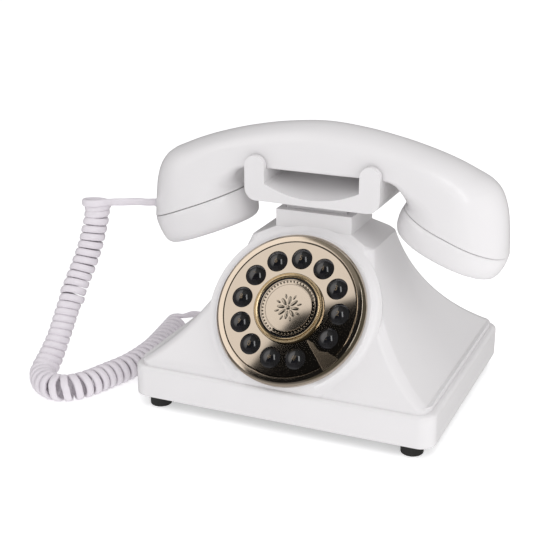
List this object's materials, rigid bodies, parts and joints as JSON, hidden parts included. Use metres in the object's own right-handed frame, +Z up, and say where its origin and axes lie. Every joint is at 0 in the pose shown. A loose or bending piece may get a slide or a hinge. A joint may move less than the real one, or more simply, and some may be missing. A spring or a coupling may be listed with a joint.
{
  "type": "desk telephone",
  "caption": "Old-style desk telephone: flared white housing, round push-button dial plate, sprung four-pronged cradle and a handset on a curly cord.",
  "frame": {"origin": "on the desk surface, at the middle of the phone's footprint box without its cord", "axes": "+Z up, -Y towards the user (the dial faces -Y), +X to the user's right; the handset lies along X"},
  "size_m": [0.2998, 0.1871, 0.179],
  "materials": {
    "white_plastic": "satin moulded white",
    "dark_plastic": "fine matte",
    "black_plastic": "smooth",
    "foot_rubber": "matte",
    "membrane_rubber": "matte",
    "plated_steel": "zinc plated",
    "iron_weight": "painted grey",
    "board_green": "solder resist",
    "antique_gold": "polished antique gold",
    "mirror_plate": "polished, slightly warm",
    "button_black": "high gloss with gold numerals",
    "plug_plastic": "smooth",
    "cord_vinyl": "soft satin vinyl"
  },
  "bodies": {
    "base": {"housing": "white_plastic", "bottom_cover": "dark_plastic", "case_screws": "plated_steel", "rubber_feet": "foot_rubber", "base_weight": "iron_weight", "main_board": "board_green", "ringer_speaker": "dark_plastic", "line_jack": "black_plastic", "base_handset_jack": "black_plastic", "ringer_switch_body": "black_plastic", "dial_rim": "antique_gold", "dial_plate": "mirror_plate", "centre_ring": "antique_gold", "medallion": "mirror_plate", "finger_stop": "antique_gold", "keypad_frame": "dark_plastic", "keypad_board": "board_green", "keypad_membrane": "membrane_rubber", "dial_screws": "plated_steel", "hook_bracket": "plated_steel", "hook_spring": "plated_steel", "hook_switch": "black_plastic", "handset_cord_coil": "cord_vinyl", "handset_cord_tail": "cord_vinyl", "base_plug": "plug_plastic"},
    "cradle": {"cradle": "white_plastic", "cradle_stem": "white_plastic", "cradle_screws": "plated_steel"},
    "handset": {"handset_shell": "white_plastic", "grip_cover": "white_plastic", "earpiece_cap": "white_plastic", "mouthpiece_cap": "white_plastic", "earpiece_receiver": "dark_plastic", "microphone": "dark_plastic", "handset_weight": "iron_weight", "handset_jack": "black_plastic", "handset_screws": "plated_steel", "handset_plug": "plug_plastic", "handset_cord_lead": "cord_vinyl"},
    "ringer_switch": {"ringer_switch_knob": "black_plastic"},
    "button_1": {"button_1": "button_black"},
    "button_2": {"button_2": "button_black"},
    "button_3": {"button_3": "button_black"},
    "button_4": {"button_4": "button_black"},
    "button_5": {"button_5": "button_black"},
    "button_6": {"button_6": "button_black"},
    "button_7": {"button_7": "button_black"},
    "button_8": {"button_8": "button_black"},
    "button_9": {"button_9": "button_black"},
    "button_0": {"button_0": "button_black"},
    "button_star": {"button_star": "button_black"},
    "button_hash": {"button_hash": "button_black"}
  },
  "joints": [
    {"name": "handset_lift", "type": "slide", "parent": "base", "child": "handset", "axis": [0, 0, 1], "range_m": [0, 0.06], "deforming": ["handset_cord_coil"]},
    {"name": "cradle_travel", "type": "slide", "parent": "base", "child": "cradle", "axis": [0, 0, 1], "range_m": [0, 0.004], "deforming": ["hook_spring"]},
    {"name": "ringer_slide", "type": "slide", "parent": "base", "child": "ringer_switch", "axis": [1, 0, 0], "range_m": [0, 0.003]},
    {"name": "button_1_press", "type": "slide", "parent": "base", "child": "button_1", "axis": [0, 0.8141, -0.5807], "range_m": [0, 0.0015], "stiffness_N_per_m": 400},
    {"name": "button_2_press", "type": "slide", "parent": "base", "child": "button_2", "axis": [0, 0.8141, -0.5807], "range_m": [0, 0.0015], "stiffness_N_per_m": 400},
    {"name": "button_3_press", "type": "slide", "parent": "base", "child": "button_3", "axis": [0, 0.8141, -0.5807], "range_m": [0, 0.0015], "stiffness_N_per_m": 400},
    {"name": "button_4_press", "type": "slide", "parent": "base", "child": "button_4", "axis": [0, 0.8141, -0.5807], "range_m": [0, 0.0015], "stiffness_N_per_m": 400},
    {"name": "button_5_press", "type": "slide", "parent": "base", "child": "button_5", "axis": [0, 0.8141, -0.5807], "range_m": [0, 0.0015], "stiffness_N_per_m": 400},
    {"name": "button_6_press", "type": "slide", "parent": "base", "child": "button_6", "axis": [0, 0.8141, -0.5807], "range_m": [0, 0.0015], "stiffness_N_per_m": 400},
    {"name": "button_7_press", "type": "slide", "parent": "base", "child": "button_7", "axis": [0, 0.8141, -0.5807], "range_m": [0, 0.0015], "stiffness_N_per_m": 400},
    {"name": "button_8_press", "type": "slide", "parent": "base", "child": "button_8", "axis": [0, 0.8141, -0.5807], "range_m": [0, 0.0015], "stiffness_N_per_m": 400},
    {"name": "button_9_press", "type": "slide", "parent": "base", "child": "button_9", "axis": [0, 0.8141, -0.5807], "range_m": [0, 0.0015], "stiffness_N_per_m": 400},
    {"name": "button_0_press", "type": "slide", "parent": "base", "child": "button_0", "axis": [0, 0.8141, -0.5807], "range_m": [0, 0.0015], "stiffness_N_per_m": 400},
    {"name": "button_star_press", "type": "slide", "parent": "base", "child": "button_star", "axis": [0, 0.8141, -0.5807], "range_m": [0, 0.0015], "stiffness_N_per_m": 400},
    {"name": "button_hash_press", "type": "slide", "parent": "base", "child": "button_hash", "axis": [0, 0.8141, -0.5807], "range_m": [0, 0.0015], "stiffness_N_per_m": 400}
  ],
  "couplings": [
    {"joint": "cradle_travel", "follows": "handset_lift", "ratio": 0.066666}
  ]
}
